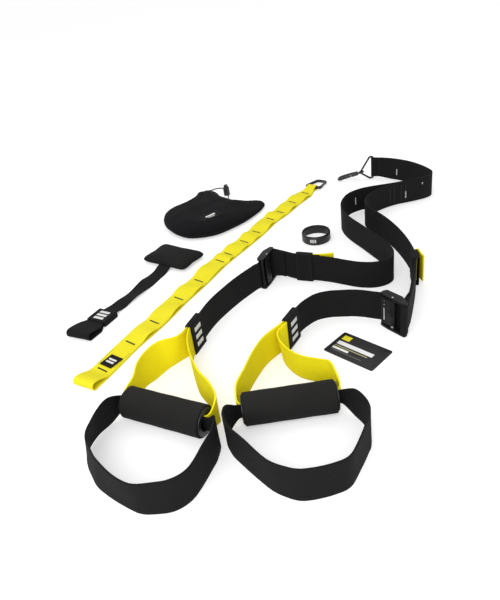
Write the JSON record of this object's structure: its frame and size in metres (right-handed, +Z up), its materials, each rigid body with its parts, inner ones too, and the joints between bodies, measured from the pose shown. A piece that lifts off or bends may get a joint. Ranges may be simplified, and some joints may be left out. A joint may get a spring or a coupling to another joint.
{
  "type": "suspension trainer",
  "caption": "Suspension trainer laid out flat: twin webbing straps with cam buckles, foam grips and foot cradles, anchor strap, door anchor, bag, band and card.",
  "frame": {"origin": "centre of the laid-out set's box in plan, on the floor plane that it lies on; the bag's free cord and its lock are left out of that box", "axes": "+Z up, +Y from the foot cradles towards the top ring, +X to the right of a viewer at the foot cradles"},
  "size_m": [0.7376, 0.9854, 0.0592],
  "materials": {
    "anchor_yellow": "woven nylon, matt",
    "bag_cloth": "fine mesh, matt",
    "band_rubber": "silicone, matt",
    "black_metal": "black coating, satin",
    "black_plastic": "moulded, fine grain",
    "card_print": "printed card, matt",
    "grip_foam": "closed-cell foam, matt",
    "label_black": "woven label, matt",
    "spring_steel": "bright",
    "webbing_black": "woven nylon, matt",
    "webbing_yellow": "woven nylon, matt"
  },
  "bodies": {
    "straps": {"anchor_patch": "label_black", "anchor_sling": "webbing_black", "anchor_strap": "anchor_yellow", "bag_body": "bag_cloth", "bag_drawstring": "webbing_black", "bag_label": "label_black", "card": "card_print", "cord_lock_body": "black_plastic", "cord_lock_spring": "spring_steel", "door_loop": "webbing_black", "door_pad": "grip_foam", "door_sleeve": "label_black", "door_strap": "webbing_black", "left_buckle_frame": "black_metal", "left_cam_pin": "spring_steel", "left_cam_spring": "spring_steel", "left_foot_cradle": "webbing_black", "left_keeper": "webbing_black", "left_label_sleeve": "label_black", "left_lower_strap": "webbing_black", "left_main_strap": "webbing_black", "left_pull_tab": "webbing_yellow", "left_yellow_sling": "webbing_yellow", "right_buckle_frame": "black_metal", "right_cam_pin": "spring_steel", "right_cam_spring": "spring_steel", "right_foot_cradle": "webbing_black", "right_keeper": "webbing_black", "right_label_sleeve": "label_black", "right_lower_strap": "webbing_black", "right_main_strap": "webbing_black", "right_pull_tab": "webbing_yellow", "right_yellow_sling": "webbing_yellow", "wristband": "band_rubber"},
    "ring": {"delta_ring": "black_metal"},
    "eye": {"swivel_eye": "black_metal"},
    "hook": {"snap_hook_body": "black_metal", "snap_hook_gate_pin": "spring_steel"},
    "hook_gate": {"snap_hook_gate": "black_metal", "snap_hook_gate_spring": "spring_steel"},
    "carabiner": {"carabiner_body": "black_metal", "carabiner_gate_pin": "spring_steel"},
    "carabiner_gate": {"carabiner_gate": "black_metal", "carabiner_gate_spring": "spring_steel"},
    "left_cam": {"left_cam_lever": "black_metal"},
    "right_cam": {"right_cam_lever": "black_metal"},
    "left_grip": {"left_grip_foam": "grip_foam", "left_grip_tube": "black_plastic", "left_grip_cap_near": "black_plastic", "left_grip_cap_far": "black_plastic"},
    "right_grip": {"right_grip_foam": "grip_foam", "right_grip_tube": "black_plastic", "right_grip_cap_near": "black_plastic", "right_grip_cap_far": "black_plastic"},
    "lock_button": {"cord_lock_button": "black_plastic"}
  },
  "joints": [
    {"name": "ring_swing", "type": "hinge", "parent": "straps", "child": "ring", "pos_m": [0.27328, 0.43752, 0.028], "axis": [0, 0, 1], "range_deg": [-60, 35]},
    {"name": "hook_sway", "type": "hinge", "parent": "ring", "child": "eye", "pos_m": [0.24428, 0.43752, 0.01944], "axis": [0, 0, 1], "range_deg": [-25, 60]},
    {"name": "hook_swivel", "type": "hinge", "parent": "eye", "child": "hook", "pos_m": [0.23317, 0.442, 0.01587], "axis": [-0.8885, 0.359, -0.2857], "continuous": true},
    {"name": "hook_gate_hinge", "type": "hinge", "parent": "hook", "child": "hook_gate", "pos_m": [0.21767, 0.43982, 0.01183], "axis": [0.2649, -0.107, -0.9583], "range_deg": [0, 28], "stiffness_Nm_per_rad": 0.03, "springref_deg": -28.65},
    {"name": "carabiner_swing", "type": "hinge", "parent": "straps", "child": "carabiner", "pos_m": [0.12428, 0.42452, 0.0055], "axis": [0.7627, -0.6468, 0], "range_deg": [0, 110]},
    {"name": "carabiner_gate_hinge", "type": "hinge", "parent": "carabiner", "child": "carabiner_gate", "pos_m": [0.15537, 0.44002, 0.00395], "axis": [-0.0314, -0.0371, -0.9988], "range_deg": [0, 30], "stiffness_Nm_per_rad": 0.03, "springref_deg": -28.65},
    {"name": "left_cam_hinge", "type": "hinge", "parent": "straps", "child": "left_cam", "pos_m": [-0.0233, 0.01864, 0.0296], "axis": [0, 0, 1], "range_deg": [0, 60], "stiffness_Nm_per_rad": 0.04, "springref_deg": -28.65},
    {"name": "right_cam_hinge", "type": "hinge", "parent": "straps", "child": "right_cam", "pos_m": [0.14355, -0.17469, 0.0296], "axis": [0, 0, 1], "range_deg": [0, 60], "stiffness_Nm_per_rad": 0.04, "springref_deg": -28.65},
    {"name": "left_grip_spin", "type": "hinge", "parent": "straps", "child": "left_grip", "pos_m": [-0.19422, -0.30648, 0.022], "axis": [0.8652, -0.5015, 0], "continuous": true},
    {"name": "right_grip_spin", "type": "hinge", "parent": "straps", "child": "right_grip", "pos_m": [-0.03272, -0.32448, 0.022], "axis": [1, 0, 0], "continuous": true},
    {"name": "lock_button_press", "type": "slide", "parent": "straps", "child": "lock_button", "axis": [0, 0, -1], "range_m": [0, 0.003], "stiffness_N_per_m": 700, "springref_m": -0.002, "deforming": ["cord_lock_spring"]}
  ]
}
